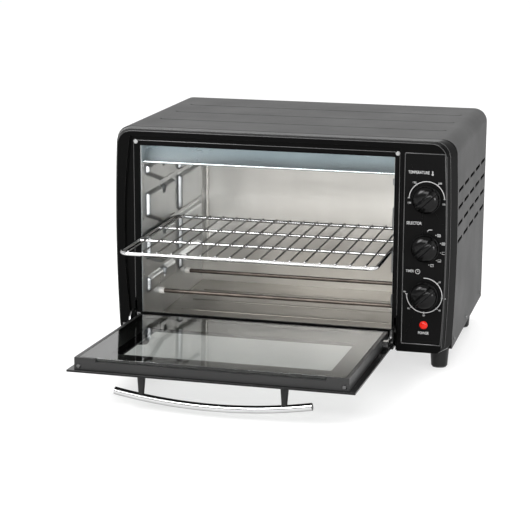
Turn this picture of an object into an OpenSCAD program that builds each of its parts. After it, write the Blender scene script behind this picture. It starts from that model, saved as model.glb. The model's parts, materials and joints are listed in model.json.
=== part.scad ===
// Countertop toaster oven with a drop-down glass door, a sliding wire rack and three control knobs.
// Origin: middle of the four feet, on the surface the oven stands on. X right, Y back, Z up.
// It is drawn with the door open and the rack pulled forwards.

/* [Housing] */
// Width of the steel housing
body_w = 487; // [484:1:500]
// Depth of the housing, bezel included
body_d = 340; // [336:1:380]
// Height of the housing without its feet
body_h = 294; // [294:1:310]
// Height of the feet, rubber pads included
foot_h = 35; // [25:1:35]
// Radius of the two upper corners
corner_r = 20; // [12:1:26]
// Depth of the moulded front bezel
bezel_d = 30; // [28:1:34]
// How far the sides of the bezel bow outwards at mid height
bezel_bow = 4; // [0:0.5:6]

/* [Cooking chamber] */
// Width of the chamber mouth
mouth_w = 364; // [362:0.5:365]
// Height of the chamber mouth
mouth_h = 242; // [230:1:243]
// How far the middle of the mouth lies left of the housing's middle
mouth_shift = 20; // [18:1:21]
// Height of the mouth's sill above the housing's underside
sill_h = 29; // [27:1:30]
// Height of the lowest shelf support above the housing's underside
shelf_h = 74; // [72:1:76]
// Height from one shelf support to the next
shelf_pitch = 62; // [56:1:63]

/* [Door] */
// Width of the door's outer panel
door_w = 380; // [376:1:381]
// Length of the door from its hinge axis to its far edge
door_l = 265; // [258:1:266]
// Angle that the open door stands above the horizontal
door_lift = 2.2; // [0:0.1:4]

/* [Handle] */
// Length of the handle bar
handle_w = 262; // [220:2:280]
// Diameter of the handle tube
handle_d = 10; // [8:0.5:12]
// How far the handle bar bows away from the door
handle_bow = 12.4; // [6:0.2:16]
// Distance between the two handle posts
post_gap = 190; // [160:2:200]
// Length of a handle post
post_h = 26; // [20:1:30]

/* [Wire rack] */
// Width of the rack
rack_w = 361; // [356:0.5:361]
// Depth of the rack
rack_d = 262; // [240:1:264]
// How far the rack is pulled out past the front face
rack_out = 103; // [0:1:110]
// Number of thin wires
rack_wires = 17; // [11:1:21]

/* [Controls] */
// Diameter of a knob
knob_d = 39; // [34:1:42]
// How far a knob stands out from the panel
knob_h = 20; // [16:1:24]
// Diameter of the indicator lamp lens
lamp_d = 11.4; // [9:0.2:12]

/* [Hidden] */
$fn = 48;
sheet = 1;                          // thickness of the steel sheets
shell_t = 1.2;                      // thickness of the outer shell
z0 = foot_h;                        // underside of the housing
z1 = foot_h + body_h;               // top of the housing
recess = 5;                         // depth of the door recess in the bezel
front_t = 8;                        // back of the bezel's front wall
mouth_x0 = -mouth_shift - mouth_w / 2;
mouth_x1 = -mouth_shift + mouth_w / 2;
mouth_z0 = z0 + sill_h;
mouth_z1 = mouth_z0 + mouth_h;
chamber_back = body_d - 33;         // front of the chamber's back wall
floor_z = z0 + 4;                   // underside of the chamber floor
ceil_z = mouth_z1 + 3;              // underside of the chamber ceiling
pad_t = 6;                          // how far the shelf pads stand into the chamber
pad_y = [[28, 150], [181, 290]];    // front and rear shelf pads
heater_y = [86, 216];
heater_z = [z0 + 41, ceil_z - 21];
heater_d = 6;
door_x = -mouth_shift - 2;          // middle of the door
hinge_y = recess + 1 - 13;          // hinge axis, from the front face
hinge_z = z0 + 17;
door_in = 11;                       // hinge axis to the door's inner face
door_out = 8;                       // hinge axis to the door's outer face
door_tail = 3;                      // door behind the hinge axis
frame_w = door_w - 18;              // door frame, inside the overhanging outer panel
frame_l = door_l - 5.5;
rail = 12;                          // width of a door frame rail
panel_t = 3;
glass_t = 4;
window = [296, 192];                // clear window of the outer panel
window_y = -213;
post_y = 21 - door_l;               // middle of the handle posts
pin_d = 4;
stay_r = 18;                        // radius of the curved door stays
stay_end = 150;                     // angle of a stay's inner end
rod_d = 5;
wire_d = 2.4;
rack_z = z0 + shelf_h + shelf_pitch + rod_d / 2 + 0.3;
panel_x = 207.5;                    // middle of the control column
panel_edge = [178, 230];            // left and right edge of the control panel, at its ends
panel_z = [z0 + 13, z1 - 17];
knob_z = [z0 + 216, z0 + 148.5, z0 + 81.7];
lamp_z = z0 + 39.6;
shaft_d = 6;
bracket_y = 14;                     // front of the metal plate that carries the controls
foot_x = 222;
foot_y = [60, body_d - 60];
side_screw_y = [50, body_d / 2, body_d - 20];
back_points = [for (x = [-215, 0, 215], z = [z0 + 18, z1 - 20]) [x, z]];
// Lowest and highest edge of each shelf pad, from the bottom of the chamber up
pads = [[z0 + shelf_h - 22, z0 + shelf_h], for (k = [0:1])
    [z0 + shelf_h + k * shelf_pitch + 8, z0 + shelf_h + (k + 1) * shelf_pitch],
    [z0 + shelf_h + 2 * shelf_pitch + 8, z0 + shelf_h + 2 * shelf_pitch + 41]];
FEET = ["foot_front_left", "foot_front_right", "foot_rear_left", "foot_rear_right"];
KNOBS = ["temperature_knob", "selector_knob", "timer_knob"];
SHAFTS = ["temperature_shaft", "selector_shaft", "timer_shaft"];
HEATERS = ["heater_lower_front", "heater_lower_rear", "heater_upper_front", "heater_upper_rear"];
SIDES = [-1, 1];
BRACKETS = ["hinge_bracket_left", "hinge_bracket_right"];
PINS = ["hinge_pin_left", "hinge_pin_right"];
SPRINGS = ["hinge_spring_left", "hinge_spring_right"];
STAYS = ["door_stay_left", "door_stay_right"];
POSTS = ["handle_post_left", "handle_post_right"];

// ---- frames of reference ----

// Y counted from the oven's front face instead of from the middle of the feet
module from_front() { translate([0, -body_d / 2, 0]) children(); }

// The door's own frame: X from the door's middle, Y from the hinge axis, Z towards the inside
module on_door() {
    from_front() translate([door_x, hinge_y, hinge_z]) rotate([-door_lift, 0, 0]) children();
}

// A solid standing on the XZ plane at y and growing towards the back by t
module backwards(y, t) { translate([0, y + t, 0]) rotate([90, 0, 0]) linear_extrude(t) children(); }

// A cylinder along Y or along X
module rod_y(d, l) { rotate([-90, 0, 0]) cylinder(d = d, h = l); }
module rod_x(d, l) { rotate([0, 90, 0]) cylinder(d = d, h = l); }

// A box from its lowest corner to its highest
module box(a, b) { translate(a) cube(b - a); }

// ---- housing ----

// Half width added by the bow of the bezel's sides at height z
function bow(z) = bezel_bow * (1 - pow(2 * (z - z0 - body_h / 2) / body_h, 2));

// Right half of the bezel's outline, moved inwards by side at its sides and by top at its top
function bezel_side(side, top) = let (low = 7) concat(
    [for (a = [-90:30:-30]) let (z = z0 + low + low * sin(a))
        [body_w / 2 - side - low + low * cos(a) + bow(z), z]],
    [for (i = [0:6]) let (z = z0 + low + (body_h - top - corner_r - low) * i / 6)
        [body_w / 2 - side + bow(z), z]],
    [for (a = [15:15:90]) let (z = z1 - top - corner_r + corner_r * sin(a))
        [body_w / 2 - side - corner_r + corner_r * cos(a) + bow(z), z]]);

module bezel_slice(y, side, top) {
    half = bezel_side(side, top);
    backwards(y, 0.05) polygon(concat(half, [for (i = [len(half) - 1:-1:0]) [-half[i][0], half[i][1]]]));
}

// The sunken field round the mouth that the closed door lies in, with bowed sides
module door_field() {
    top = z1 - 9;
    steps = 8;
    left = mouth_x0 - 13;
    right = mouth_x1 + 8.5;
    function curve(i) = 1 - pow(2 * i / steps - 1, 2);
    polygon(concat(
        [for (i = [0:steps]) [right + 3.5 * curve(i), z0 - 1 + (top - z0 + 1) * i / steps]],
        [for (i = [steps:-1:0]) [left - 10 * curve(i), z0 - 1 + (top - z0 + 1) * i / steps]]));
}

// The control panel's outline, made larger by gap, with its right side bowed like the bezel's
module panel_outline(gap) {
    low = panel_z[0] - gap;
    high = panel_z[1] + gap;
    steps = 8;
    polygon(concat([[panel_edge[0] - gap, high], [panel_edge[0] - gap, low]],
        [for (i = [0:steps]) let (z = low + (high - low) * i / steps) [panel_edge[1] + gap + bow(z), z]]));
}

module front_bezel() color("#17181a") from_front() difference() {
    hull() {
        bezel_slice(0, 11.5, 2.5);
        bezel_slice(3, 10, 1);
        bezel_slice(9, 8, 0.4);
        bezel_slice(bezel_d - 0.05, 1, 0.2);
    }
    difference() {
        hull() {
            translate([0, 0, 3]) bezel_slice(front_t, 14, 7);
            translate([0, 0, 3]) bezel_slice(bezel_d + 1, 5, 6);
        }
        box([mouth_x0 - 2, 0, z0], [mouth_x1 + 2, bezel_d, mouth_z1 + 2]);
    }
    backwards(-1, recess + 1) door_field();
    box([mouth_x0, -1, mouth_z0], [mouth_x1, bezel_d + 1, mouth_z1]);
    box([mouth_x0 - 1, front_t, z0 + 3], [mouth_x1 + 1, bezel_d + 1, mouth_z1 + 4.5]);
    backwards(-1, 3) panel_outline(0.4);
    for (z = knob_z) translate([panel_x, 1, z]) rod_y(14, 10);
    translate([panel_x, 1, lamp_z]) rod_y(lamp_d + 0.6, 10);
    for (s = SIDES) translate([door_x + s * (door_w / 2 - 1.5), 0, 0])
        box([-1.6, recess - 1, z0 - 1], [1.6, 24, z0 + 46]);
    for (x = [mouth_x0 - 6, mouth_x1 + 4]) translate([x, recess - 2, mouth_z1 + 5]) rod_y(3, 7);
}

// Outline of the bent steel shell, moved inwards by inset
module shell_outline(inset) {
    w = body_w / 2 - inset;
    for (s = SIDES) translate([s * (w - corner_r + inset), z1 - corner_r]) circle(corner_r - inset);
    translate([-w, z0 - 1]) square([2 * w, body_h - corner_r + 1]);
    translate([-w + corner_r - inset, z0]) square([2 * w - 2 * corner_r + 2 * inset, body_h - inset]);
}

// A shallow pressed line across the top whose two ends turn towards the back
module pressed_line(y) {
    r = 1.6;
    turn = 7;
    x0 = -body_w / 2 + 46;
    x1 = body_w / 2 - 36;
    translate([x0, y, z1 + r - 0.7]) rod_x(2 * r, x1 - x0);
    for (s = [0, 1]) translate([s == 0 ? x0 : x1, y + turn, z1 + r - 0.7])
        rotate([0, 0, s == 0 ? 180 : 270]) rotate_extrude(angle = 90) translate([turn, 0]) circle(r);
}

// One ventilation slot through a side, long in Y
module side_slot(y, z) {
    slot_l = 43;
    slot_h = 5;
    for (dy = [0, slot_l - slot_h]) translate([-body_w / 2 - 1, y + dy, z]) rod_x(slot_h, body_w + 2);
    box([-body_w / 2 - 1, y, z - slot_h / 2], [body_w / 2 + 1, y + slot_l - slot_h, z + slot_h / 2]);
}

module outer_shell() color("#2b2c2e") from_front() {
    difference() {
        backwards(bezel_d, body_d - bezel_d) intersection() {
            shell_outline(0);
            translate([-body_w, z0]) square([2 * body_w, body_h]);
        }
        backwards(bezel_d - 1, body_d - bezel_d + 2) shell_outline(shell_t);
        for (y = [104, 180, 256]) pressed_line(y);
        for (row = [0:3], slot = [0:4]) side_slot(58 + 57.5 * slot, z1 - 75.5 - 24 * row);
        for (s = SIDES, y = side_screw_y) translate([s * body_w / 2 - 2, y, z0 + 10]) rod_x(3.2, 4);
    }
    for (s = SIDES) scale([s, 1, 1])
        box([body_w / 2 - 14, bezel_d, z0], [body_w / 2 - shell_t / 2, body_d, z0 + shell_t]);
}

module back_panel() color("#2b2c2e") from_front() difference() {
    backwards(body_d - shell_t, shell_t) intersection() {
        shell_outline(shell_t + 0.2);
        translate([-body_w, z0 + shell_t + 0.2]) square([2 * body_w, body_h]);
    }
    for (row = [0:4], col = [-4:4])
        box([col * 40 - 13, body_d - 3, z0 + 95 + row * 26], [col * 40 + 13, body_d + 1, z0 + 99 + row * 26]);
    translate([panel_x, body_d - 3, z0 + 32]) rod_y(12, 5);
    for (p = back_points) translate([p[0], body_d - 3, p[1]]) rod_y(3.2, 5);
}

module base_panel() color("#3a3b3d") from_front() difference() {
    w = body_w / 2 - 14.3;
    box([-w, bezel_d + 0.2, z0], [w, body_d - shell_t - 0.2, z0 + shell_t]);
    for (row = [0:5], col = [-1:1])
        box([col * 110 - 40, 90 + 32 * row, z0 - 1], [col * 110 + 40, 94 + 32 * row, z0 + 3]);
    for (s = SIDES, y = foot_y) translate([s * foot_x, y, z0 - 1]) cylinder(d = 5, h = 4);
}

module control_panel() color("#101113") from_front() difference() {
    backwards(0.3, 1.7) panel_outline(0);
    for (z = knob_z) translate([panel_x, -1, z]) rod_y(shaft_d + 4, 5);
    translate([panel_x, -1, lamp_z]) rod_y(lamp_d - 2, 5);
}

// ---- cooking chamber ----

// Outline of a pressed shelf pad in Y and Z. Its lower front corner is cut back as a lead-in,
// and a front pad has a notch in its upper edge that the rack's stop drops into.
module pad_outline(y, low, high, lead, inset) {
    slope = lead > 0 ? 66 : 0;
    notch = y == pad_y[0] ? [[y[0] + 60 - inset, high - inset], [y[0] + 63 - inset, high - 9 - inset],
        [y[0] + 70 + inset, high - 9 - inset], [y[0] + 76 + inset, high - inset]] : [];
    polygon(concat([[y[0] + inset, low + lead + inset], [y[0] + inset, high - inset]], notch,
        [[y[1] - inset, high - inset], [y[1] - inset, low + inset], [y[0] + slope + inset, low + inset]]));
}

// A side wall of the chamber, drawn as the left one, with its inner face at x = 0
module chamber_side() {
    module pressed(inset, t) {
        rotate([90, 0, 90]) for (p = pads, y = pad_y)
            linear_extrude(t) pad_outline(y, p[0], p[1], y == pad_y[0] && p != pads[0] ? 20 : 0, inset);
    }
    difference() {
        union() {
            box([-sheet, front_t, floor_z], [0, chamber_back, ceil_z + sheet]);
            pressed(0, pad_t);
        }
        translate([-sheet - 0.1, 0, 0]) pressed(sheet, pad_t + 0.1);
        for (y = heater_y, z = heater_z) translate([-2, y, z]) rod_x(10, 4);
        for (k = [0:2]) box([-2, 14, z0 + 82 + k * 78], [1, 17, z0 + 87 + k * 78]);
    }
}

module chamber_left_wall() color("#a9adab") from_front() translate([mouth_x0, 0, 0]) chamber_side();

module chamber_right_wall() color("#a9adab") from_front()
    translate([mouth_x1, 0, 0]) mirror([1, 0, 0]) chamber_side();

module chamber_ceiling() color("#a4a8a6") from_front()
    box([mouth_x0, front_t, ceil_z], [mouth_x1, chamber_back, ceil_z + sheet]);

module chamber_floor() color("#9da19f") from_front() difference() {
    union() {
        box([mouth_x0, front_t, floor_z], [mouth_x1, chamber_back, floor_z + sheet]);
        for (y = [60, 120, 180, 240]) translate([mouth_x0 + 24, y, floor_z + 0.4]) rod_x(4, mouth_w - 48);
    }
    box([mouth_x0, 0, floor_z - 4], [mouth_x1, chamber_back, floor_z]);
}

module chamber_back_wall() color("#b9b8b2") from_front() difference() {
    union() {
        box([mouth_x0 - sheet, chamber_back, floor_z], [mouth_x1 + sheet, chamber_back + sheet, ceil_z + sheet]);
        for (x = [mouth_x0 + 9, mouth_x1 - 9]) translate([x, chamber_back, mouth_z0 + 10])
            cylinder(d = 5, h = mouth_h - 30);
    }
    box([mouth_x0, chamber_back + sheet, 0], [mouth_x1, chamber_back + 9, z1]);
}

module upper_reflector() color("#9fb0b6") from_front() {
    w = mouth_w - 2;
    translate([mouth_x0 + 1, 0, 0]) {
        rotate([90, 0, 90]) linear_extrude(w) polygon([[15, ceil_z - 27], [16, ceil_z - 28],
            [41, ceil_z - 1], [54, ceil_z - 1], [54, ceil_z], [40.4, ceil_z]]);
        translate([0, 15.4, ceil_z - 28]) rod_x(3.2, w);
    }
}

module heater(i) color("#54504c") from_front()
    translate([mouth_x0 - 14, heater_y[i % 2], heater_z[i < 2 ? 0 : 1]]) rod_x(heater_d, mouth_w + 28);

module heater_insulators() color("#e6e1d6") from_front()
    for (y = heater_y, z = heater_z, s = SIDES)
        translate([-mouth_shift + s * mouth_w / 2, y, z]) scale([s, 1, 1]) difference() {
            union() {
                translate([-8, 0, 0]) rod_x(9.6, 16);
                translate([sheet, 0, 0]) rod_x(15, 4);
            }
            translate([-9, 0, 0]) rod_x(heater_d, 20);
        }

// ---- controls ----

module heat_shield() color("#8f9391") from_front() difference() {
    x = mouth_x1 + sheet + 8;
    box([x, bezel_d + 2, z0 + 8], [x + 0.8, body_d - 8, ceil_z + 4]);
    for (y = heater_y, z = heater_z) translate([x - 2, y, z]) rod_x(12, 5);
}

module control_bracket() color("#8f9391") from_front() difference() {
    box([panel_x - 30, bracket_y, lamp_z + 14], [panel_x + 24, bracket_y + 1.2, knob_z[0] + 34]);
    for (z = knob_z) translate([panel_x, bracket_y - 1, z]) rod_y(8.6, 4);
}

// The threaded neck and body that every rotary control has, with the bore for its shaft
module rotary_control(z, body_w, body_h, body_t) {
    difference() {
        union() {
            translate([panel_x, bracket_y - 4, z]) rod_y(8.4, 6);
            box([panel_x - body_w / 2, bracket_y + 1.2, z - body_h / 2],
                [panel_x + body_w / 2, bracket_y + 1.2 + body_t, z + body_h / 2]);
            children();
        }
        translate([panel_x, 0, z]) rod_y(shaft_d + 0.7, bracket_y + 14);
    }
}

module thermostat() color("#c9c2b2") from_front() rotary_control(knob_z[0], 34, 22, 16) {
    translate([panel_x, bracket_y + 12, knob_z[0]]) rod_y(30, 12);
    for (dz = [-7, 7]) box([panel_x - 25, bracket_y + 8, knob_z[0] + dz - 3],
        [panel_x + 25, bracket_y + 9, knob_z[0] + dz + 3]);
}

module selector_switch() color("#d8d3c6") from_front() rotary_control(knob_z[1], 36, 36, 22)
    for (dx = [-12, -4, 4, 12]) box([panel_x + dx - 0.4, bracket_y + 22, knob_z[1] - 24],
        [panel_x + dx + 0.4, bracket_y + 22.9, knob_z[1] + 24]);

module timer_unit() color("#b8bcbc") from_front() rotary_control(knob_z[2], 50, 46, 30)
    for (dx = [-19, 19], dz = [-17, 17])
        translate([panel_x + dx, bracket_y + 31, knob_z[2] + dz]) rod_y(4, 3);

module timer_bell() color("#c8c9c9") from_front() translate([panel_x, bracket_y + 44, knob_z[2]])
    rotate([90, 0, 0]) {
        difference() {
            intersection() {
                translate([0, 0, -14]) sphere(r = 24);
                cylinder(r = 30, h = 12);
            }
            intersection() {
                translate([0, 0, -14]) sphere(r = 23);
                translate([0, 0, -1]) cylinder(r = 30, h = 12);
            }
        }
        translate([0, 0, 9.2]) cylinder(d = 5, h = 3.6);
    }

module lamp_body() color("#e9e4da") from_front() translate([panel_x, 2.1, lamp_z]) {
    rod_y(lamp_d - 0.4, 20);
    for (dx = [-2.5, 2.5]) translate([dx - 0.4, 20, -2]) cube([0.8, 9, 4]);
}

module lamp_lens() color("#e02412") from_front() translate([panel_x, 0.3, lamp_z]) {
    rotate([90, 0, 0]) intersection() {
        translate([0, 0, -5]) sphere(d = 1.35 * lamp_d);
        cylinder(d = lamp_d, h = 8);
    }
    rod_y(lamp_d - 2.2, 1.7);
}

// Faces the panel with its back at y = 0: skirt, domed cap and a grip ridge across it
module knob_shape() {
    ridge_angle = 45;
    skirt = 5;
    difference() {
        union() {
            cylinder(d = knob_d, h = skirt);
            intersection() {
                cylinder(d = knob_d - 3, h = knob_h);
                translate([0, 0, -13.5]) sphere(r = knob_d / 2 + 7.5, $fn = 72);
            }
            rotate([0, 0, ridge_angle]) intersection() {
                union() {
                    translate([-knob_d / 2, -3.6, 0]) cube([knob_d, 7.2, knob_h - 2]);
                    translate([-knob_d / 2, 0, knob_h - 2]) rotate([0, 90, 0])
                        scale([0.5, 1, 1]) cylinder(d = 7.2, h = knob_d);
                }
                cylinder(d = knob_d - 4, h = 2 * knob_h);
            }
        }
        translate([0, 0, -1]) cylinder(d = shaft_d, h = 12);
        rotate([0, 0, ridge_angle]) translate([knob_d / 2 - 9, -0.6, knob_h - 1]) cube([12, 1.2, 4]);
    }
}

module knob(i) color("#141517") from_front() translate([panel_x, -0.3, knob_z[i]])
    rotate([90, 0, 0]) knob_shape();

module knob_shaft(i) color("#c9a860") from_front() translate([panel_x, -10.8, knob_z[i]])
    rod_y(shaft_d, bracket_y + 22);

module terminal_block() color("#ece7dc") from_front() {
    y = body_d - 40;
    difference() {
        box([panel_x - 18, y, z0 + shell_t], [panel_x + 18, y + 16, z0 + 22]);
        for (dx = [-11, 0, 11]) translate([panel_x + dx, y + 8, z0 + 12]) cylinder(d = 5, h = 12);
    }
}

module cable_gland() color("#1b1c1e") from_front() translate([panel_x, body_d - 6, z0 + 32]) difference() {
    union() {
        rod_y(11.6, 18);
        translate([0, 6, 0]) rod_y(18, 5);
    }
    translate([0, -1, 0]) rod_y(7.4, 20);
}

// ---- feet and fasteners ----

module foot(i) color("#191a1c") from_front()
    translate([foot_x * (i % 2 == 0 ? -1 : 1), foot_y[i < 2 ? 0 : 1], 2]) difference() {
        cylinder(d1 = 23, d2 = 28, h = foot_h - 2);
        translate([0, 0, 12]) cylinder(d = 4, h = foot_h);
    }

module foot_pads() color("#2a2a2a") from_front()
    for (s = SIDES, y = foot_y) translate([s * foot_x, y, 0]) cylinder(d = 20, h = 2);

module door_bumpers() color("#d9d9d6") from_front()
    for (x = [mouth_x0 - 6, mouth_x1 + 4]) translate([x, recess, mouth_z1 + 5]) {
        rod_y(2.8, 4);
        rotate([90, 0, 0]) cylinder(d1 = 6.4, d2 = 5, h = 0.7);
    }

// Pan head screw along -Y with its seat at y = 0
module screw(d, l) {
    rotate([90, 0, 0]) difference() {
        union() {
            cylinder(d1 = 2 * d, d2 = 1.4 * d, h = 0.6 * d);
            translate([0, 0, -l]) cylinder(d = d, h = l);
        }
        for (a = [0, 90]) rotate([0, 0, a]) translate([-0.7 * d, -0.3, 0.35 * d]) cube([1.4 * d, 0.6, d]);
    }
}

module back_screws() color("#9a9c9c") from_front()
    for (p = back_points) translate([p[0], body_d, p[1]]) rotate([0, 0, 180]) screw(3, 2.5);

module side_screws() color("#9a9c9c") from_front()
    for (s = SIDES, y = side_screw_y)
        translate([s * body_w / 2, y, z0 + 10]) rotate([0, 0, 90 * s]) screw(3, 1.1);

module bracket_screws() color("#9a9c9c") from_front()
    for (s = SIDES) translate([door_x + s * (frame_w / 2 + 3.2), recess - 1.2, hinge_z + 8])
        screw(1.8, 1.1);

// ---- door hinges ----

module hinge_bracket(s) color("#a8abab") from_front()
    translate([door_x + s * (frame_w / 2 + 2.6), hinge_y, hinge_z]) scale([s, 1, 1]) difference() {
        ear = 2.6;
        union() {
            translate([-ear / 2, 0, 0]) rod_x(9.2, ear);
            box([-ear / 2, 0, -4.6], [ear / 2, recess - hinge_y, 4.6]);
            box([-1.9, recess - hinge_y - 1.2, -8], [3, recess - hinge_y, 11]);
        }
        translate([-4, 0, 0]) rod_x(pin_d, 8);
        translate([0.6, recess - hinge_y - 3, 8]) rod_y(2, 6);
    }

module hinge_pin(s) color("#c4c6c6") from_front()
    translate([door_x, hinge_y, hinge_z]) scale([s, 1, 1]) {
        translate([frame_w / 2 - rail - 1, 0, 0]) rod_x(pin_d, rail + 5);
        translate([frame_w / 2 + 4, 0, 0]) rod_x(7, 1.4);
    }

module hinge_spring(s) color("#8d9092") on_door() scale([s, 1, 1])
    for (i = [0:5]) translate([frame_w / 2 - rail + 2.6 + 1.3 * i, 0, 0]) rotate([0, 90, 0])
        rotate_extrude() translate([3.5, 0]) circle(d = 1.4, $fn = 24);

// ---- door ----

module door_outer_panel() color("#141517") on_door() difference() {
    box([-door_w / 2, -door_l, -door_out], [door_w / 2, door_tail, -door_out + panel_t]);
    box([-window[0] / 2, window_y, -door_out - 1], [window[0] / 2, window_y + window[1], 0]);
    for (s = SIDES) translate([s * post_gap / 2, post_y, -door_out - 1]) cylinder(d = 3.1, h = 6);
}

module door_glass() color("#5c5750", 0.6) on_door()
    box([-frame_w / 2 + 5, -frame_l + 3.5, door_in - glass_t], [frame_w / 2 - 5, -2, door_in]);

module door_frame() color("#3b3c3e") on_door() {
    under = -door_out + panel_t;
    tab = 29;
    difference() {
        box([-frame_w / 2, -frame_l, under], [frame_w / 2, door_tail - 0.5, door_in]);
        box([-frame_w / 2 + rail, -frame_l + rail, under - 1], [frame_w / 2 - rail, -rail, door_in + 1]);
        box([-frame_w / 2 + 4.7, -frame_l + 3.2, door_in - glass_t - 0.2],
            [frame_w / 2 - 4.7, -1.7, door_in + 1]);
        box([-frame_w / 2 + tab, -frame_l - 1, door_in - 5], [frame_w / 2 - tab, -frame_l + 4, door_in + 1]);
        difference() {
            box([-frame_w / 2 + 1.5, -frame_l + 1.5, under - 1], [frame_w / 2 - 1.5, 1, door_in - glass_t - 1.7]);
            box([-frame_w / 2 + rail - 1.5, -frame_l + rail - 1.5, under - 2],
                [frame_w / 2 - rail + 1.5, -rail + 1.5, door_in]);
        }
        translate([-frame_w / 2 - 1, 0, 0]) rod_x(pin_d + 0.4, frame_w + 2);
        for (s = SIDES) translate([s * (frame_w / 2 - 6), -frame_l - 1, 0]) rod_y(3.4, 3);
        for (s = SIDES) scale([s, 1, 1])
            translate([frame_w / 2 - rail + 1.6, 0, 0]) rod_x(9.6, rail - 3.2);
    }
}

// Curved stay that holds the door: a foot on the door frame and an arc round the hinge axis
module door_stay(s) color("#c4c6c6") on_door() scale([s, 1, 1]) {
    x = door_w / 2 - 2.5;
    arc_w = 3;
    translate([x, 0, 0]) rotate([90, 0, 90]) {
        rotate([0, 0, 180 - stay_end]) rotate_extrude(angle = stay_end - 12, $fn = 96)
            translate([stay_r - arc_w / 2, 0]) square([arc_w, 2]);
        linear_extrude(2) polygon([[-stay_r - 1, 3], [-stay_r + 1, 6.5], [-34, 8], [-44, 8], [-44, 0], [-30, 0]]);
    }
    box([frame_w / 2, -44, 0], [x, -36, 8]);
}

module door_screws() color("#b4b6b6") on_door()
    for (s = SIDES) translate([s * (frame_w / 2 - 6), -frame_l, 0]) screw(3.2, 1.4);

module handle_arc(d) {
    r = (pow(handle_w / 2, 2) + pow(handle_bow, 2)) / (2 * handle_bow);
    half = asin(handle_w / 2 / r);
    drop = r - sqrt(r * r - pow(post_gap / 2, 2));
    translate([0, post_y, -door_out - post_h - handle_d / 2 - drop + r]) rotate([90, 0, 0])
        rotate([0, 0, -90 - half]) rotate_extrude(angle = 2 * half, $fn = 360) translate([r, 0]) circle(d = d);
}

module handle_bar() color("#d5d7d8") on_door() handle_arc(handle_d);

module handle_post(s) color("#141517") on_door() difference() {
    translate([s * post_gap / 2, post_y, -door_out - post_h - 1.5])
        cylinder(d1 = 7.4, d2 = 11.6, h = post_h + 1.5);
    handle_arc(handle_d + 0.04);
    translate([s * post_gap / 2, post_y, -door_out - 8]) cylinder(d = 2.9, h = 9);
}

module handle_screws() color("#b4b6b6") on_door()
    for (s = SIDES) translate([s * post_gap / 2, post_y, -door_out + panel_t])
        rotate([-90, 0, 0]) screw(2.8, 9);

// ---- rack ----

module wire_rack() color("#c9cbca") from_front() translate([-mouth_shift, -rack_out, rack_z]) {
    r = 14;
    w = rack_w - rod_d;
    d = rack_d - rod_d;
    lift = (rod_d + wire_d) / 2 - 0.4;
    pitch = 20.6;
    translate([0, rod_d / 2, 0]) {
        for (y = [0, d]) translate([-w / 2 + r, y, 0]) rod_x(rod_d, w - 2 * r);
        for (x = [-w / 2, w / 2]) translate([x, r, 0]) rod_y(rod_d, d - 2 * r);
        for (c = [[w / 2 - r, d - r, 0], [-w / 2 + r, d - r, 90], [-w / 2 + r, r, 180], [w / 2 - r, r, 270]])
            translate([c[0], c[1], 0]) rotate([0, 0, c[2]]) rotate_extrude(angle = 90)
                translate([r, 0]) circle(d = rod_d);
        for (k = [1, 2]) translate([-w / 2, k * d / 3, 0]) rod_x(4, w);
        for (i = [0:rack_wires - 1]) translate([(i - (rack_wires - 1) / 2) * pitch, -1, lift])
            rod_y(wire_d, d + 2);
    }
}

outer_shell();
back_panel();
base_panel();
front_bezel();
control_panel();
chamber_left_wall();
chamber_right_wall();
chamber_ceiling();
chamber_floor();
chamber_back_wall();
upper_reflector();
heater_insulators();
heat_shield();
control_bracket();
thermostat();
selector_switch();
timer_unit();
timer_bell();
lamp_body();
lamp_lens();
terminal_block();
cable_gland();
foot_pads();
door_bumpers();
back_screws();
side_screws();
bracket_screws();
door_outer_panel();
door_frame();
door_glass();
door_screws();
handle_screws();
handle_bar();
wire_rack();
for (i = [0:3]) foot(i);
for (i = [0:3]) heater(i);
for (i = [0:2]) knob(i);
for (i = [0:2]) knob_shaft(i);
for (i = [0, 1]) hinge_bracket(SIDES[i]);
for (i = [0, 1]) hinge_pin(SIDES[i]);
for (i = [0, 1]) hinge_spring(SIDES[i]);
for (i = [0, 1]) door_stay(SIDES[i]);
for (i = [0, 1]) handle_post(SIDES[i]);
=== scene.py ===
"""Toaster oven with its door open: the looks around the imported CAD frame.

Metres, +X right, +Y back, +Z up.
"""

import json
import math

import bmesh
import bpy
import numpy as np
from mathutils import Matrix, Vector

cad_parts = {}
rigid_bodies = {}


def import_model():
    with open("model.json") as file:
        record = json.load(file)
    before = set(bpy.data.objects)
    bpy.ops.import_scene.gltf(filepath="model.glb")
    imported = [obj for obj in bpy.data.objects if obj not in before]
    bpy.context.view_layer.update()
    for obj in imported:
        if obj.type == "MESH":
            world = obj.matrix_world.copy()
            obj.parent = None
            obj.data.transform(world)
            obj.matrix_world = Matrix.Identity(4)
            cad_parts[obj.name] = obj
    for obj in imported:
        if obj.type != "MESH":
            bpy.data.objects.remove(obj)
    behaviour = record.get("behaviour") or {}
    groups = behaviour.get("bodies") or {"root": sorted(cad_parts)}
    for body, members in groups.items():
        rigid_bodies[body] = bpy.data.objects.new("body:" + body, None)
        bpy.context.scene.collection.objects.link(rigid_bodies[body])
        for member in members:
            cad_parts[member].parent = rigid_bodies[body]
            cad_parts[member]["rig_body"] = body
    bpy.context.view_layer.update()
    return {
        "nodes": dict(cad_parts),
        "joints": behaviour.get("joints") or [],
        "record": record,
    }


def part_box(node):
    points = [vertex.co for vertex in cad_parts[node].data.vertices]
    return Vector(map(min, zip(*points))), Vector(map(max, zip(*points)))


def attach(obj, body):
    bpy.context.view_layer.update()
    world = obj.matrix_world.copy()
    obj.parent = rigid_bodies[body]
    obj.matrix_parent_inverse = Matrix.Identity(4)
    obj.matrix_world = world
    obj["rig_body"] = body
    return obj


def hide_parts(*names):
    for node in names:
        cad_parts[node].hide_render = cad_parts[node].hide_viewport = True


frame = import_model()
NODES = frame["nodes"]
JOINTS = {j["name"]: j for j in frame["joints"]}
MM = 0.001

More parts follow.
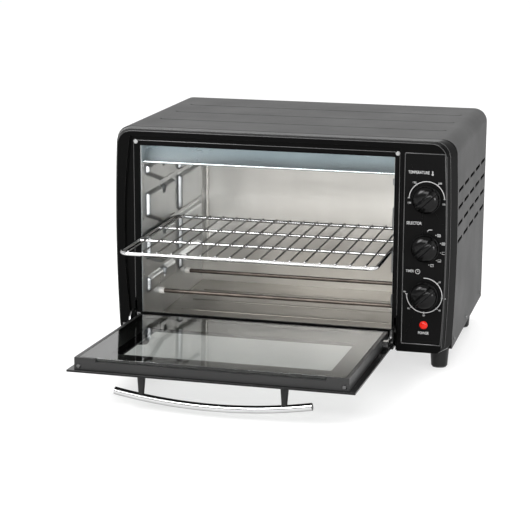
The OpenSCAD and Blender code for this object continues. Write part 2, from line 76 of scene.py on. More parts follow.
# ---- places, read from the frame but for the bezel's bow ----

BEZEL_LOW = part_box("front_bezel")[0]
FRONT = BEZEL_LOW.y  # the oven's front face
BEZEL_BOW = 4 * MM  # how far the bezel's sides bow outwards at mid height
PANEL_LOW, PANEL_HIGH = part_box("control_panel")
PANEL_Y = PANEL_LOW.y
KNOBS = ["temperature_knob", "selector_knob", "timer_knob"]
PANEL_X = sum((c.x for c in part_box(KNOBS[0])), 0.0) / 2  # middle of the control column
KNOB_Z = [sum((c.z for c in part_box(n)), 0.0) / 2 for n in KNOBS]
HINGE = JOINTS["door_hinge"]
LIFT = math.radians(90 - HINGE["range_deg"][1])  # how far the open door stays above level
ON_DOOR = Matrix.Translation(Vector(HINGE["pos_m"])) @ Matrix.Rotation(-LIFT, 4, "X")


def on_door(x, y, z):
    """A point of the door's own frame in millimetres: X from its middle, Y from the hinge, Z inwards."""
    return ON_DOOR @ Vector((x * MM, y * MM, z * MM))


def door_box(node):
    """Lowest and highest corner of a door node in the door's own frame, in millimetres."""
    inverse = ON_DOOR.inverted()
    co = [inverse @ v.co for v in NODES[node].data.vertices]
    return [Vector([f(c[i] for c in co) / MM for i in range(3)]) for f in (min, max)]


# ---- materials ----

EVEN = (1, 1, 1)  # for a noise of the same size along each axis


def node(tree, kind, **values):
    """A new shader node with its properties or its input sockets set."""
    n = tree.nodes.new(kind)
    for key, value in values.items():
        if hasattr(n, key) and key not in n.inputs:
            setattr(n, key, value)
        else:
            n.inputs[key].default_value = value
    return n


def noise_at(tree, coords, scale, detail=3.0, rough=0.55, stretch=EVEN):
    mapping = node(tree, "ShaderNodeMapping")
    mapping.inputs["Scale"].default_value = stretch
    tree.links.new(coords.outputs["Object"], mapping.inputs["Vector"])
    n = node(tree, "ShaderNodeTexNoise", Scale=scale, Detail=detail, Roughness=rough)
    tree.links.new(mapping.outputs["Vector"], n.inputs["Vector"])
    return n


def made(name, dark, light, rough, patch=14.0, grain=(1500.0, 0.00002), stretch=EVEN, fine=EVEN, **sockets):
    """A finish whose colour and roughness drift over their ranges, with a fine grain in its bump.

    patch is the noise scale of the drift, and grain is the noise scale and the depth in metres of the bump.
    """
    material = bpy.data.materials.new(name)
    material.use_nodes = True
    tree = material.node_tree
    bsdf = tree.nodes["Principled BSDF"]
    for key, value in sockets.items():
        bsdf.inputs[key.replace("_", " ")].default_value = value
    coords = node(tree, "ShaderNodeTexCoord")
    drift = noise_at(tree, coords, patch, stretch=stretch)
    ramp = node(tree, "ShaderNodeValToRGB")
    ramp.color_ramp.elements[0].position = 0.32
    ramp.color_ramp.elements[0].color = (*dark, 1)
    ramp.color_ramp.elements[1].position = 0.68
    ramp.color_ramp.elements[1].color = (*light, 1)
    tree.links.new(drift.outputs["Fac"], ramp.inputs["Fac"])
    tree.links.new(ramp.outputs["Color"], bsdf.inputs["Base Color"])
    smudge = noise_at(tree, coords, patch * 2.3, detail=5.0, stretch=stretch)
    span = node(tree, "ShaderNodeMapRange")
    span.inputs["From Min"].default_value = 0.3
    span.inputs["From Max"].default_value = 0.7
    span.inputs["To Min"].default_value = rough[0]
    span.inputs["To Max"].default_value = rough[1]
    tree.links.new(smudge.outputs["Fac"], span.inputs["Value"])
    tree.links.new(span.outputs["Result"], bsdf.inputs["Roughness"])
    pebble = noise_at(tree, coords, grain[0], detail=2.0, stretch=fine)
    bump = node(tree, "ShaderNodeBump", Strength=1.0, Distance=grain[1])
    tree.links.new(pebble.outputs["Fac"], bump.inputs["Height"])
    tree.links.new(bump.outputs["Normal"], bsdf.inputs["Normal"])
    return material


def grey(v, warm=0.0):
    return (v * (1 + warm), v, v * (1 - warm))


def clear_glass(name, tint, gloss):
    """Flat glass: clear where it is seen square on, a mirror where it is seen at a slant."""
    material = bpy.data.materials.new(name)
    material.use_nodes = True
    tree = material.node_tree
    tree.nodes.remove(tree.nodes["Principled BSDF"])
    out = tree.nodes["Material Output"]
    see = node(tree, "ShaderNodeBsdfTransparent")
    see.inputs["Color"].default_value = (*tint, 1)
    shine = node(tree, "ShaderNodeBsdfGlossy")
    shine.inputs["Color"].default_value = (1, 1, 1, 1)
    shine.inputs["Roughness"].default_value = gloss
    fresnel = node(tree, "ShaderNodeFresnel", IOR=1.42)
    side = node(tree, "ShaderNodeNewGeometry")
    outer = node(tree, "ShaderNodeMath", operation="SUBTRACT", use_clamp=True)
    tree.links.new(fresnel.outputs["Fac"], outer.inputs[0])
    tree.links.new(side.outputs["Backfacing"], outer.inputs[1])
    mix = node(tree, "ShaderNodeMixShader")
    tree.links.new(outer.outputs["Value"], mix.inputs["Fac"])
    tree.links.new(see.outputs["BSDF"], mix.inputs[1])
    tree.links.new(shine.outputs["BSDF"], mix.inputs[2])
    tree.links.new(mix.outputs["Shader"], out.inputs["Surface"])
    return material


MATERIALS = {
    "shell_paint": made(
        "satin_black_paint", grey(0.020), grey(0.024), (0.42, 0.48), patch=6, grain=(2600, 0.00002),
        Specular_IOR_Level=0.09,
    ),
    "base_steel": made("zinc_steel_base", grey(0.30), grey(0.36), (0.42, 0.55), patch=20, Metallic=1.0),
    "bezel_black": made(
        "moulded_black_bezel", grey(0.0014), grey(0.0020), (0.14, 0.20), patch=11,
        grain=(1800, 0.000006), Specular_IOR_Level=0.03,
    ),
    # A lighter, far more reflective copy of the bezel black, for its bevels and beads: painted highlight
    # lines.
    "bezel_edge": made(
        "bezel_edge_painted_highlight", grey(0.004), grey(0.006), (0.20, 0.26), patch=11, grain=(1800, 0.000006),
        Specular_IOR_Level=0.7,
    ),
    "panel_black": made(
        "printed_black_panel", grey(0.0022), grey(0.0030), (0.34, 0.40), patch=16,
        grain=(3000, 0.00001), Specular_IOR_Level=0.04,
    ),
    "chamber_steel": made(
        "aluminised_steel", (0.50, 0.52, 0.53), (0.60, 0.615, 0.62), (0.27, 0.38), patch=7,
        grain=(900, 0.00001), stretch=(1, 1, 0.35), fine=(1, 1, 0.04), Metallic=1.0,
    ),
    # A lighter, warmer copy of the chamber steel for the back wall: painted warm reflection of toast.
    "chamber_back": made(
        "aluminised_steel_back_painted_warm_reflection", (0.62, 0.60, 0.565), (0.72, 0.70, 0.66), (0.30, 0.40), patch=7,
        grain=(900, 0.00001), stretch=(1, 1, 0.2), fine=(1, 1, 0.03), Metallic=1.0,
    ),
    # A darker, brown copy of the chamber steel for the floor: painted reflection of brown toast.
    "chamber_floor": made(
        "chamber_floor_painted_toast_reflection", (0.17, 0.16, 0.145), (0.25, 0.235, 0.21), (0.38, 0.50), patch=9,
        grain=(900, 0.00001), stretch=(0.4, 1, 1), Metallic=1.0,
    ),
    "reflector_steel": made(
        "reflector_sheet", (0.56, 0.62, 0.64), (0.66, 0.71, 0.73), (0.20, 0.30), patch=9,
        grain=(1200, 0.00001), stretch=(0.3, 1, 1), fine=(0.05, 1, 1), Metallic=1.0,
    ),
    "heater_steel": made(
        "oxidised_heater_tube", (0.085, 0.072, 0.062), (0.16, 0.135, 0.115), (0.36, 0.52), patch=30,
        grain=(1400, 0.00002), Metallic=0.85,
    ),
    "ceramic": made("glazed_ceramic", (0.78, 0.76, 0.71), (0.86, 0.84, 0.80), (0.30, 0.42), patch=60),
    "bracket_steel": made("bright_zinc", grey(0.36), grey(0.46), (0.28, 0.40), patch=45, Metallic=1.0),
    # A darker copy of the bright zinc, so that the hinge brackets, pins and stays read black.
    "hinge_steel": made("darkened_zinc_hinges", grey(0.13), grey(0.20), (0.20, 0.30), patch=45, Metallic=1.0),
    "phenolic": made("moulded_phenolic", (0.50, 0.46, 0.38), (0.60, 0.56, 0.47), (0.42, 0.52), patch=40),
    "bell_steel": made("nickel_bell", grey(0.62), grey(0.70), (0.12, 0.2), patch=50, Metallic=1.0),
    "lamp_red": made(
        "red_lamp_lens", (0.33, 0.006, 0.003), (0.45, 0.010, 0.004), (0.10, 0.16), patch=240,
        grain=(900, 0.00004), Emission_Color=(1.0, 0.02, 0.005, 1.0), Emission_Strength=0.08,
        Specular_IOR_Level=0.22,
    ),
    "black_plastic": made(
        "moulded_black_plastic", grey(0.005), grey(0.008), (0.30, 0.40), patch=30,
        grain=(2200, 0.00002), Specular_IOR_Level=0.22,
    ),
    "knob_black": made(
        "gloss_black_knob", grey(0.0012), grey(0.0020), (0.15, 0.21), patch=45, grain=(2500, 0.000006),
        Specular_IOR_Level=0.17,
    ),
    "silicone": made("clear_grey_silicone", grey(0.20), grey(0.26), (0.30, 0.4), patch=200),
    "rubber_pad": made("grey_rubber", grey(0.05), grey(0.075), (0.7, 0.8), patch=90, grain=(1500, 0.00006)),
    "screw_steel": made("black_oxide_screw", grey(0.10), grey(0.15), (0.26, 0.38), patch=300, Metallic=1.0),
    "door_paint": made(
        "satin_grey_black_door_frame", grey(0.009), grey(0.013), (0.34, 0.44), patch=12,
        grain=(2400, 0.00002), Specular_IOR_Level=0.3,
    ),
    "door_panel_black": made(
        "gloss_black_door_panel", grey(0.003), grey(0.005), (0.12, 0.20), patch=10,
        grain=(1600, 0.000006), Specular_IOR_Level=0.16,
    ),
    "tempered_glass": clear_glass("tempered_glass", (0.66, 0.675, 0.66), 0.012),
    # The dark Specular_Tint darkens the chrome at grazing angles: painted dark reflection along its edges.
    "chrome": made(
        "chrome", grey(0.58), grey(0.66), (0.08, 0.13), patch=25, grain=(900, 0.000003), Metallic=1.0,
        Specular_Tint=(0.15, 0.15, 0.15, 1.0),
    ),
    # The dark Specular_Tint darkens the handle at grazing angles: painted dark reflection along its edges.
    "handle_chrome": made(
        "handle_chrome", grey(0.50), grey(0.58), (0.09, 0.14), patch=25, grain=(900, 0.000003),
        Metallic=1.0, Specular_Tint=(0.10, 0.10, 0.10, 1.0),
    ),
    "brass": made("brass", (0.62, 0.47, 0.22), (0.72, 0.56, 0.30), (0.25, 0.35), patch=120, Metallic=1.0),
}
SLOT_OF = {s["node"]: s["material_slot"] for s in frame["record"]["subparts"]}
INK = made("white_print", grey(0.32), grey(0.38), (0.45, 0.55), patch=500)
FRIT = made("black_glass_print", grey(0.006), grey(0.009), (0.30, 0.40), patch=40, Specular_IOR_Level=0.2)

for name, obj in NODES.items():
    obj.data.materials.clear()
    obj.data.materials.append(MATERIALS[SLOT_OF[name]])
# The back wall takes the copy with the painted warm reflection.
NODES["chamber_back_wall"].data.materials[0] = MATERIALS["chamber_back"]
# The floor takes the copy with the painted reflection of brown toast.
NODES["chamber_floor"].data.materials[0] = MATERIALS["chamber_floor"]
for name in NODES:
    if name.startswith(("hinge_bracket", "hinge_pin")):
        NODES[name].data.materials[0] = MATERIALS["hinge_steel"]

# ---- building pieces ----


def piece(name, mesh, material, body, stands_for=(), smooth=35.0):
    """A new mesh object that rides on a body."""
    obj = bpy.data.objects.new(name, mesh)
    bpy.context.scene.collection.objects.link(obj)
    mesh.materials.append(material)
    mesh.shade_smooth()
    mesh.set_sharp_from_angle(angle=math.radians(smooth))
    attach(obj, body)
    if stands_for:
        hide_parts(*stands_for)
    return obj


def mesh_of(name, bm):
    bmesh.ops.recalc_face_normals(bm, faces=bm.faces)
    mesh = bpy.data.meshes.new(name)
    bm.to_mesh(mesh)
    bm.free()
    return mesh


def clean_copy(cad):
    """The CAD node's surface as one joined bmesh."""
    bm = bmesh.new()
    bm.from_mesh(NODES[cad].data)
    bmesh.ops.remove_doubles(bm, verts=bm.verts, dist=1e-6)
    return bm


def body_of(cad):
    return NODES[cad]["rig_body"]


def softened(cad, width, segments=3, angle=30.0, material=None, edge=None):
    """The CAD node again with its sharp edges rounded to width, in millimetres, and in the finish edge."""
    mesh = mesh_of(cad, clean_copy(cad))
    slot = SLOT_OF[cad]
    obj = piece(cad + "_soft", mesh, material or MATERIALS[slot], body_of(cad), [cad], angle)
    bevel = obj.modifiers.new("edges", "BEVEL")
    bevel.width = width * MM
    bevel.segments = segments
    bevel.limit_method = "ANGLE"
    bevel.angle_limit = math.radians(angle)
    bevel.miter_outer = "MITER_ARC"
    if edge:
        mesh.materials.append(edge)
        bevel.material = 1
    flat = obj.modifiers.new("flat_faces", "WEIGHTED_NORMAL")
    flat.weight = 100
    flat.keep_sharp = True


def tube(name, paths, radius, material, body, stands_for=(), closed=False, sides=5):
    """Round wire along each path of points, in metres."""
    curve = bpy.data.curves.new(name, "CURVE")
    curve.dimensions = "3D"
    curve.bevel_depth = radius
    curve.bevel_resolution = sides
    curve.use_fill_caps = True
    for path in paths:
        spline = curve.splines.new("POLY")
        spline.points.add(len(path) - 1)
        for point, p in zip(spline.points, path):
            point.co = (*p, 1)
        spline.use_cyclic_u = closed
    curve.materials.append(material)
    obj = bpy.data.objects.new(name, curve)
    bpy.context.scene.collection.objects.link(obj)
    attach(obj, body)
    if stands_for:
        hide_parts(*stands_for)


def rounded_loop(x0, x1, y0, y1, r, steps=8):
    """Points round a rectangle with rounded corners, in its own plane."""
    points = []
    corners = [(x1 - r, y1 - r, 0), (x0 + r, y1 - r, 90), (x0 + r, y0 + r, 180), (x1 - r, y0 + r, 270)]
    for cx, cy, a0 in corners:
        for i in range(steps + 1):
            a = math.radians(a0 + 90 * i / steps)
            points.append((cx + r * math.cos(a), cy + r * math.sin(a)))
    return points


# ---- housing ----

softened("outer_shell", 0.35, 2, 18)
softened("back_panel", 0.3, 2)
# The bezel's bevels take its lighter, more reflective edge copy: painted highlight lines along the folds.
softened("front_bezel", 0.8, 3, 25, edge=MATERIALS["bezel_edge"])
softened("control_panel", 0.4, 2)


def inside_distance(polygon, y, z):
    """How far points lie inside a polygon, negative outside it."""
    nearest = np.full(y.shape, 1e9)
    inside = np.zeros(y.shape, bool)
    for (ay, az), (by, bz) in zip(polygon, polygon[1:] + polygon[:1]):
        dy, dz = by - ay, bz - az
        t = np.clip(((y - ay) * dy + (z - az) * dz) / (dy * dy + dz * dz), 0, 1)
        nearest = np.minimum(nearest, np.hypot(y - ay - t * dy, z - az - t * dz))
        if az != bz:
            crosses = (az > z) != (bz > z)
            inside ^= crosses & (y < ay + (z - az) * dy / (bz - az))
    return np.where(inside, nearest, -nearest)


def smooth(a, b, t):
    t = np.clip((t - a) / (b - a), 0, 1)
    return t * t * (3 - 2 * t)


def pressed_wall(side):
    """A side wall as one pressed sheet, with shelf pads, their lead-ins and stop notches, and spot welds."""
    cad = f"chamber_{side}_wall"
    low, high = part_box(cad)
    face, inward = (low.x + MM, 1) if side == "left" else (high.x - MM, -1)
    pitch = 1.5  # size of the sheet's faces, in millimetres
    ys = np.linspace(low.y - FRONT, high.y - FRONT, int((high.y - low.y) / MM / pitch)) / MM
    zs = np.linspace(low.z, high.z, int((high.z - low.z) / MM / pitch)) / MM
    y, z = np.meshgrid(ys, zs, indexing="ij")
    rise = np.zeros(y.shape)
    # lowest and highest Z of each pad, the middles of the spot welds, and the heights of the small
    # openings near the front edge
    pads = [(87, 109), (117, 171), (179, 233), (241, 274)]
    welds = ((20, 60), (20, 300), (165, 60), (165, 300), (298, 60), (298, 300))
    slots = (119.5, 197.5, 275.5)
    pad_rise, weld_sink = 5.9, 0.7
    for k, (z0, z1) in enumerate(pads):
        lead, slope = (20, 66) if k else (0, 0)
        notch = [(88, z1), (91, z1 - 9), (98, z1 - 9), (104, z1)]
        front = [(28, z0 + lead), (28, z1), *notch, (150, z1), (150, z0), (28 + slope, z0)]
        rear = [(181, z0), (181, z1), (290, z1), (290, z0)]
        for polygon in (front, rear):
            d = inside_distance(polygon if k or polygon is rear else polygon[:-1], y, z)
            rise = np.maximum(rise, pad_rise * smooth(-0.6, 3.2, d))
    for wy, wz in welds:
        rise -= weld_sink * (1 - smooth(1.0, 3.2, np.hypot(y - wy, z - wz)))
    bm = bmesh.new()
    grid = [
        [bm.verts.new((face + inward * h * MM, FRONT + wy * MM, wz * MM)) for wz, h in zip(zs, row)]
        for wy, row in zip(ys, rise)
    ]
    for i in range(len(ys) - 1):
        for j in range(len(zs) - 1):
            cy, cz = (ys[i] + ys[i + 1]) / 2, (zs[j] + zs[j + 1]) / 2
            if 13.5 < cy < 17.5 and any(abs(cz - c) < 2.6 for c in slots):
                continue
            quad = (grid[i][j], grid[i + 1][j], grid[i + 1][j + 1], grid[i][j + 1])
            bm.faces.new(quad if inward < 0 else quad[::-1])
    mesh = bpy.data.meshes.new(cad)
    bm.to_mesh(mesh)
    bm.free()
    obj = piece(cad + "_pressed", mesh, MATERIALS["chamber_steel"], "housing", [cad], 60)
    sheet = obj.modifiers.new("sheet", "SOLIDIFY")
    sheet.thickness = 0.8 * MM
    sheet.offset = -1.0


pressed_wall("left")
pressed_wall("right")
softened("upper_reflector", 0.3, 2, 12)
for foot in ("front_left", "front_right", "rear_left", "rear_right"):
    softened(f"foot_{foot}", 1.0, 3)
softened("door_bumpers", 0.3, 3)

# ---- controls ----


def knob(i):
    """A moulded knob: straight skirt, domed top and a grip ridge at 45 degrees across it.

    Radii are shares of the knob's own radius, and heights are shares of its height.
    """
    low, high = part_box(KNOBS[i])
    radius = (high.x - low.x) / 2
    height = high.y - low.y
    centre = Vector(((low.x + high.x) / 2, high.y, (low.z + high.z) / 2))
    rings, steps = 44, 144
    bm = bmesh.new()

    def top(across, r):
        """Height of the top at a point, across the ridge and r from 0 in the middle to 1 at the rim."""
        dome = 0.68 - 0.06 * r**2 - 0.20 * r**5
        crown = 0.99 - 0.30 * r**4 - 0.05 * (across / 0.20) ** 2
        ridge = 1 - smooth(0.13, 0.24, across)
        return dome + (crown - dome) * ridge * (1 - 0.25 * smooth(0.9, 1.0, r))

    circle = [(math.cos(2 * math.pi * k / steps), math.sin(2 * math.pi * k / steps)) for k in range(steps)]
    skirt = [(1.0, 0.0), (1.0, 0.16), (0.985, 0.19), (0.955, 0.20)]
    skirt += [(0.94, 0.22), (0.935, 0.40), (0.925, 0.46)]
    rim = 0.915
    loops = [[(r * x, r * y, h) for x, y in circle] for r, h in skirt]
    for j in range(rings):
        share = 1 - j / rings
        r = rim * share
        loops.append([(r * x, r * y, top(abs(r * y), share)) for x, y in circle])
    turn = Matrix.Rotation(math.radians(45), 2)
    verts = []
    for loop in loops:
        row = []
        for x, y, h in loop:
            v = turn @ Vector((x, y))
            row.append(bm.verts.new(centre + Vector((v.x * radius, -h * height, v.y * radius))))
        verts.append(row)
    for a, b in zip(verts, verts[1:]):
        for k in range(steps):
            bm.faces.new((a[k], a[(k + 1) % steps], b[(k + 1) % steps], b[k]))
    bm.faces.new(verts[-1])
    bm.faces.new(list(reversed(verts[0])))
    name = KNOBS[i]
    mesh = mesh_of(name, bm)
    piece(name + "_moulded", mesh, MATERIALS["knob_black"], body_of(name), [name], 60)


for index in range(3):
    knob(index)

# ---- print on the control panel ----

INK_LIFT = 0.03 * MM  # how far the middle of the ink stands off the panel


def ribbon(bm, points, width, closed=False):
    """A flat band of ink along points, in the panel's plane, in millimetres from its middle line."""
    pts = [Vector(p) for p in points]
    n = len(pts)
    rows = []
    for i, p in enumerate(pts):
        before = pts[i - 1] if (i > 0 or closed) else None
        after = pts[(i + 1) % n] if (i < n - 1 or closed) else None
        into = (p - before).normalized() if before is not None else None
        out = (after - p).normalized() if after is not None else None
        if into is None:
            into = out
        if out is None:
            out = into
        direction = (into + out).normalized()
        normal = Vector((-direction.y, direction.x))
        reach = width / 2 / max(0.4, direction.dot(into))
        rows.append((p + normal * reach, p - normal * reach))
    verts = [
        [bm.verts.new((PANEL_X + q.x * MM, PANEL_Y - INK_LIFT, q.y * MM)) for q in pair] for pair in rows
    ]
    for i in range(n if closed else n - 1):
        a, b = verts[i], verts[(i + 1) % n]
        bm.faces.new((a[0], a[1], b[1], b[0]))


def arc(cx, cz, r, a0, a1, steps=40):
    """Points along an arc, angles in degrees clockwise from 12 o'clock."""
    out = []
    for i in range(steps + 1):
        a = math.radians(a0 + (a1 - a0) * i / steps)
        out.append((cx + r * math.sin(a), cz + r * math.cos(a)))
    return out


def ticks(bm, cz, angles, r0, r1, width):
    for angle in angles:
        a = math.radians(angle)
        ribbon(bm, [(r * math.sin(a), cz + r * math.cos(a)) for r in (r0, r1)], width)


def ink(name, draw):
    bm = bmesh.new()
    draw(bm)
    obj = piece(name, mesh_of(name, bm), INK, "housing")
    thick = obj.modifiers.new("ink", "SOLIDIFY")
    thick.thickness = 0.05 * MM
    thick.offset = 0.0


def draw_temperature(bm):
    z = KNOB_Z[0] / MM
    ribbon(bm, arc(0, z, 24.2, -88, 88, 64), 1.05)
    ticks(bm, z, (-88, -36, 36, 88), 22.9, 26.0, 0.9)
    # the thermometer sign: its bulb and its stem
    ribbon(bm, arc(7.2, z + 34.0, 0.95, 0, 330, 14), 0.9, True)
    ribbon(bm, [(7.2, z + 34.9), (7.2, z + 38.6)], 1.3)


def draw_selector(bm):
    z = KNOB_Z[1] / MM
    ribbon(bm, [(1.5, z + 22.6), (4.2, z + 25.4), (8.6, z + 25.4)], 0.8)
    for k, (x, dz) in enumerate(((16.5, 18), (23.0, 7), (23.5, -6), (18, -17), (8, -24))):
        cx, cz = x + 1.4, z + dz
        ribbon(bm, [(x - 3.4, cz + 0.4), (x - 2.0, cz + 0.4)], 0.9)
        outline = [(cx + dx * 2.0, cz + dz * 1.6) for dx, dz in ((-1, -1), (1, -1), (1, 1), (-1, 1))]
        ribbon(bm, outline, 0.5, True)
        if k in (0, 1, 3):
            ribbon(bm, [(cx - 1.3, cz - 0.75), (cx + 1.3, cz - 0.75)], 0.55)
        if k in (0, 1, 4):
            ribbon(bm, [(cx - 1.3, cz + 0.75), (cx + 1.3, cz + 0.75)], 0.55)


def draw_timer(bm):
    z = KNOB_Z[2] / MM
    ribbon(bm, arc(0, z, 24.4, -4, 272, 90), 1.05)
    ticks(bm, z, (45, 95, 135, 180, 225, 272), 23.0, 26.4, 0.9)
    # the clock sign: its rim and its hands
    ribbon(bm, arc(-10, z + 33, 3.1, 0, 350, 28), 0.65, True)
    ribbon(bm, [(-10, z + 35.0), (-10, z + 33), (-8.6, z + 33)], 0.55)


ink("temperature_scale", draw_temperature)
ink("selector_scale", draw_selector)
ink("timer_scale", draw_timer)


def letters(name, text, x, z, size, align="CENTER", width=1.0):
    """Numbers and plain words for what a knob does, in millimetres from the panel's middle line."""
    curve = bpy.data.curves.new(name, "FONT")
    curve.body = text
    curve.size = size * MM
    curve.align_x = align
    curve.align_y = "CENTER"
    curve.extrude = 0.02 * MM
    curve.offset = 0.004 * size * MM
    curve.resolution_u = 3
    curve.materials.append(INK)
    obj = bpy.data.objects.new(name, curve)
    bpy.context.scene.collection.objects.link(obj)
    place = Matrix.Translation((PANEL_X + x * MM, PANEL_Y - INK_LIFT, z * MM))
    upright = Matrix.Rotation(math.pi / 2, 4, "X")
    obj.matrix_world = place @ upright @ Matrix.Scale(width, 4, (1, 0, 0))
    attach(obj, "housing")


def dial(name, z, size, numbers):
    """Numbers round a knob, each with its angle clockwise from 12 o'clock and its distance."""
    for text, angle, r in numbers:
        a = math.radians(angle)
        letters(f"{name}_{text}", text, r * math.sin(a), z + r * math.cos(a), size)


temperature_z, selector_z, timer_z = (z / MM for z in KNOB_Z)
dial("degrees", temperature_z, 3.4, [("100", -104, 24.6), ("150", -38, 28.4)])
dial("degrees", temperature_z, 3.4, [("200", 38, 28.4), ("250", 104, 24.6)])
dial("minutes", timer_z, 3.2, [("15", 46, 28.6), ("30", 96, 28.2), ("45", 133, 29.4)])
dial("minutes", timer_z, 3.2, [("60", 180, 28.6), ("75", 227, 29.4), ("90", 277, 27.6)])
letters("word_temperature", "TEMPERATURE", -26.0, temperature_z + 36.2, 5.8, "LEFT", 0.76)
letters("word_selector", "SELECTOR", -27.0, selector_z + 33.5, 5.8, "LEFT", 0.76)
letters("word_timer", "TIMER", -26.5, timer_z + 33.2, 5.2, "LEFT", 0.80)
lamp_low, lamp_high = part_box("lamp_lens")
letters("word_power", "POWER", 0, (lamp_low.z + lamp_high.z) / 2 / MM - 11.5, 5.4, "CENTER", 0.8)

# ---- beads of the bezel ----


def bead(name, path, y, radius, closed=False):
    """A round bead of the bezel along a path of X and Z, in metres, at y mm behind the front face."""
    points = [(x, FRONT + y * MM, z) for x, z in path]
    # Each bead takes the bezel's lighter, more reflective edge copy: a painted highlight line.
    finish = MATERIALS["bezel_edge"]
    tube(name, [points], radius * MM, finish, "housing", closed=closed)


def panel_rim():
    """Raised rim round the control panel, whose right side bows like the bezel's."""
    gap = 1.2 * MM
    left, right = PANEL_LOW.x - gap, PANEL_HIGH.x + gap
    low, high = PANEL_LOW.z - gap, PANEL_HIGH.z + gap
    steps = 24
    path = [(left, high - gap), (left, low + gap), (left + gap, low)]
    for i in range(steps + 1):
        t = 2 * i / steps - 1
        path.append((right - BEZEL_BOW * t * t, (low + high) / 2 + t * (high - low) / 2))
    path.append((left + gap, high))
    bead("panel_rim", path, 0.5, 1.1, closed=True)


def mouth_bead():
    """Low bead in the door's field, up both sides of the mouth and across its top."""
    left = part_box("chamber_left_wall")[0].x - 8 * MM
    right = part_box("chamber_right_wall")[1].x + 6 * MM
    low, high = BEZEL_LOW.z + 50 * MM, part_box("chamber_ceiling")[0].z + 4 * MM
    turn = 3 * MM
    half = [(left, low), (left, high - turn), (left + turn, high)]
    bead("mouth_bead", half + [(right + left - x, z) for x, z in reversed(half)], 5.3, 1.0)


def bezel_bead(name, y, side, top):
    """Fine bead along a fold of the bezel: up one bowed side, over the top and down the other."""
    corner = 20 * MM
    shell_low, shell_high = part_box("outer_shell")
    half = (shell_high.x - shell_low.x) / 2 - side * MM
    low, high = BEZEL_LOW.z, shell_high.z
    middle, reach = (low + high) / 2, (high - low) / 2
    start, crown = low + 8 * MM, high - top * MM - corner
    straight, turns = 20, 8

    def bulge(z):
        return BEZEL_BOW * (1 - ((z - middle) / reach) ** 2)

    heights = [start + (crown - start) * i / straight for i in range(straight + 1)]
    right = [(half + bulge(z), z) for z in heights]
    for i in range(1, turns + 1):
        a = math.radians(90 * i / turns)
        z = crown + corner * math.sin(a)
        right.append((half - corner + corner * math.cos(a) + bulge(z), z))
    bead(name, right + [(-x, z) for x, z in reversed(right)], y, 0.55)


panel_rim()
mouth_bead()
bezel_bead("bezel_fold_front", 0.2, 11.3, 2.3)
bezel_bead("bezel_fold_rear", 9, 7.8, 0.4)

# ---- door ----

softened("door_outer_panel", 0.6, 3)
softened("door_frame", 0.45, 2)
for side in ("left", "right"):
    softened(f"handle_post_{side}", 0.5, 3, 40)
    softened(f"door_stay_{side}", 0.3, 2, material=MATERIALS["hinge_steel"])
glass_low, glass_high = door_box("door_glass")


def handle():
    """The bowed handle tube, and the black plug in each of its ends."""
    low, high = door_box("handle_bar")
    radius = (high.y - low.y) / 2
    reach, bow, y = high.x - 0.8, high.z - low.z - 2 * radius, (low.y + high.y) / 2
    curve = (reach**2 + bow**2) / (2 * bow)
    steps = 48

    def at(x):
        return on_door(x, y, low.z + radius + curve - math.sqrt(curve**2 - x * x))

    bar = [at(reach * (2 * i / steps - 1)) for i in range(steps + 1)]
    chrome = MATERIALS["handle_chrome"]
    tube("handle_tube", [bar], radius * MM, chrome, "door", ["handle_bar"], sides=10)
    plugs = [[at(side * (reach - 3)), at(side * (reach + 0.2))] for side in (-1, 1)]
    black = MATERIALS["black_plastic"]
    tube("handle_plugs", plugs, (radius - 1.2) * MM, black, "door", sides=8)


handle()


def glass():
    """The glass plate, and the black print round its window on its underside."""
    bm = bmesh.new()
    bmesh.ops.create_cube(bm, size=1.0)
    size, middle = glass_high - glass_low, (glass_high + glass_low) / 2
    for v in bm.verts:
        v.co = Vector([v.co[i] * size[i] + middle[i] for i in range(3)])
    bmesh.ops.bevel(bm, geom=bm.edges, offset=0.4, segments=2, affect="EDGES", profile=0.5)
    bmesh.ops.transform(bm, matrix=ON_DOOR @ Matrix.Scale(MM, 4), verts=bm.verts)
    slot = "tempered_glass"
    plate = mesh_of("door_glass_plate", bm)
    piece("door_glass_plate", plate, MATERIALS[slot], "door", ["door_glass"], 10)
    bm = bmesh.new()
    z, thick = glass_low.z - 0.08, 0.04
    window = (-148, 148, -213, -60)
    outer = rounded_loop(glass_low.x + 0.6, glass_high.x - 0.6, glass_low.y + 0.6, glass_high.y - 0.6, 2, 8)
    inner = rounded_loop(*window, 3, 8)
    levels = [(outer, z), (inner, z), (inner, z - thick), (outer, z - thick)]
    rings = [[bm.verts.new(on_door(x, y, h)) for x, y in loop] for loop, h in levels]
    for a, b in zip(rings, rings[1:] + rings[:1]):
        for k in range(len(a)):
            bm.faces.new((a[k], a[(k + 1) % len(a)], b[(k + 1) % len(a)], b[k]))
    piece("door_glass_print", mesh_of("door_glass_print", bm), FRIT, "door")


glass()

# ---- wire rack ----


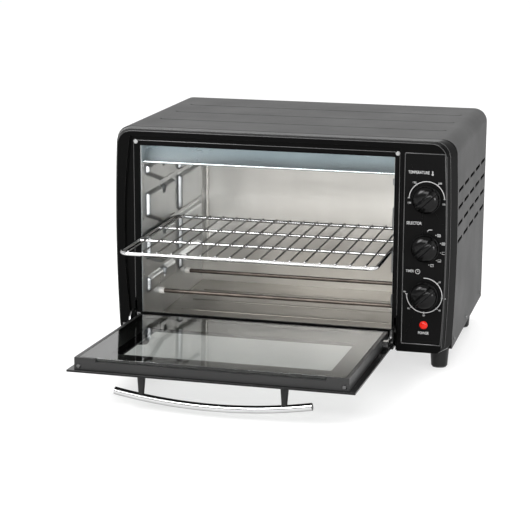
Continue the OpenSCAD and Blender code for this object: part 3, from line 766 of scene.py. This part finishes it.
def rack():
    """The rack's rod frame, its two cross bars, and the fine wires that lie on top of them."""
    low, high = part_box("wire_rack")
    rod, wire = 2.5 * MM, 1.2 * MM
    x0, x1 = low.x + rod, high.x - rod
    y0, y1 = low.y + rod, high.y - rod
    z = low.z + rod
    loop = rounded_loop(x0, x1, y0, y1, 14 * MM, 10)
    chrome = MATERIALS["chrome"]
    frame_path = [(x, y, z) for x, y in loop]
    tube("rack_frame", [frame_path], rod, chrome, "rack", ["wire_rack"], True, 6)
    bars = [[(x0, y0 + k * (y1 - y0) / 3, z), (x1, y0 + k * (y1 - y0) / 3, z)] for k in (1, 2)]
    tube("rack_cross_bars", bars, 2.0 * MM, chrome, "rack", sides=5)
    middle, lift = (x0 + x1) / 2, rod + wire - 0.4 * MM
    count, pitch, end = 17, 20.6 * MM, 0.9 * MM
    wires = []
    for i in range(count):
        x = middle + (i - (count - 1) / 2) * pitch
        wires.append([(x, y0 - end, z + lift), (x, y1 + end, z + lift)])
    tube("rack_wires", wires, wire, chrome, "rack", sides=4)


rack()

# ---- floor, lights and camera ----

floor_mesh = bpy.data.meshes.new("floor")
bm = bmesh.new()
bmesh.ops.create_grid(bm, x_segments=1, y_segments=1, size=30)
bm.to_mesh(floor_mesh)
bm.free()
floor = bpy.data.objects.new("floor", floor_mesh)
bpy.context.scene.collection.objects.link(floor)
WHITE_SWEEP = made(
    "white_sweep", grey(0.40), grey(0.42), (0.6, 0.7), patch=2, grain=(60, 0.0),
    Emission_Color=(1.0, 1.0, 1.0, 1.0), Emission_Strength=0.57,
)
floor_mesh.materials.append(WHITE_SWEEP)

world = bpy.data.worlds.new("studio")
bpy.context.scene.world = world
world.use_nodes = True
tree = world.node_tree
background = tree.nodes["Background"]
coords = node(tree, "ShaderNodeTexCoord")
split = node(tree, "ShaderNodeSeparateXYZ")
tree.links.new(coords.outputs["Generated"], split.inputs["Vector"])
depth = node(tree, "ShaderNodeMapRange")
depth.inputs["From Min"].default_value = -0.9
depth.inputs["From Max"].default_value = 0.6
depth.inputs["To Min"].default_value = 0.30
depth.inputs["To Max"].default_value = 1.20
tree.links.new(split.outputs["Y"], depth.inputs["Value"])
tree.links.new(depth.outputs["Result"], background.inputs["Strength"])
background.inputs["Color"].default_value = (1, 1, 1, 1)


def softbox(name, place, target, size, power):
    """A white rectangular light, in watts, turned towards a target."""
    light = bpy.data.lights.new(name, "AREA")
    light.shape = "RECTANGLE"
    light.size, light.size_y = size
    light.energy = power
    obj = bpy.data.objects.new(name, light)
    bpy.context.scene.collection.objects.link(obj)
    obj.location = place
    obj.rotation_euler = (Vector(target) - Vector(place)).to_track_quat("-Z", "Y").to_euler()


softbox("key", (-1.5, -2.4, 1.9), (0, -0.1, 0.15), (1.4, 1.4), 105)
softbox("front", (0.3, -3.2, 1.5), (0, 0, 0.15), (2.2, 1.2), 70)
softbox("fill", (2.4, -1.0, 1.3), (0.1, 0, 0.15), (0.9, 1.8), 10)
softbox("low_right", (1.5, -1.75, 0.28), (0.15, -0.1, 0.15), (0.6, 0.4), 14)
softbox("top", (0.1, 0.9, 2.3), (0, 0, 0.2), (2.4, 1.2), 30)

camera = bpy.data.cameras.new("camera")
camera.sensor_width = 36
camera.lens = 115.66
camera.clip_start, camera.clip_end = 0.05, 100
eye = bpy.data.objects.new("camera", camera)
bpy.context.scene.collection.objects.link(eye)
# where the camera stands, then its turn, tilt and roll
eye.matrix_world = (
    Matrix.Translation((0.5611, -2.4140, 0.6976))
    @ Matrix.Rotation(math.radians(14.472), 4, "Z")
    @ Matrix.Rotation(math.radians(90 - 13.401), 4, "X")
    @ Matrix.Rotation(math.radians(0.220), 4, "Z")
)
bpy.context.scene.camera = eye
bpy.context.scene.view_settings.view_transform = "Standard"
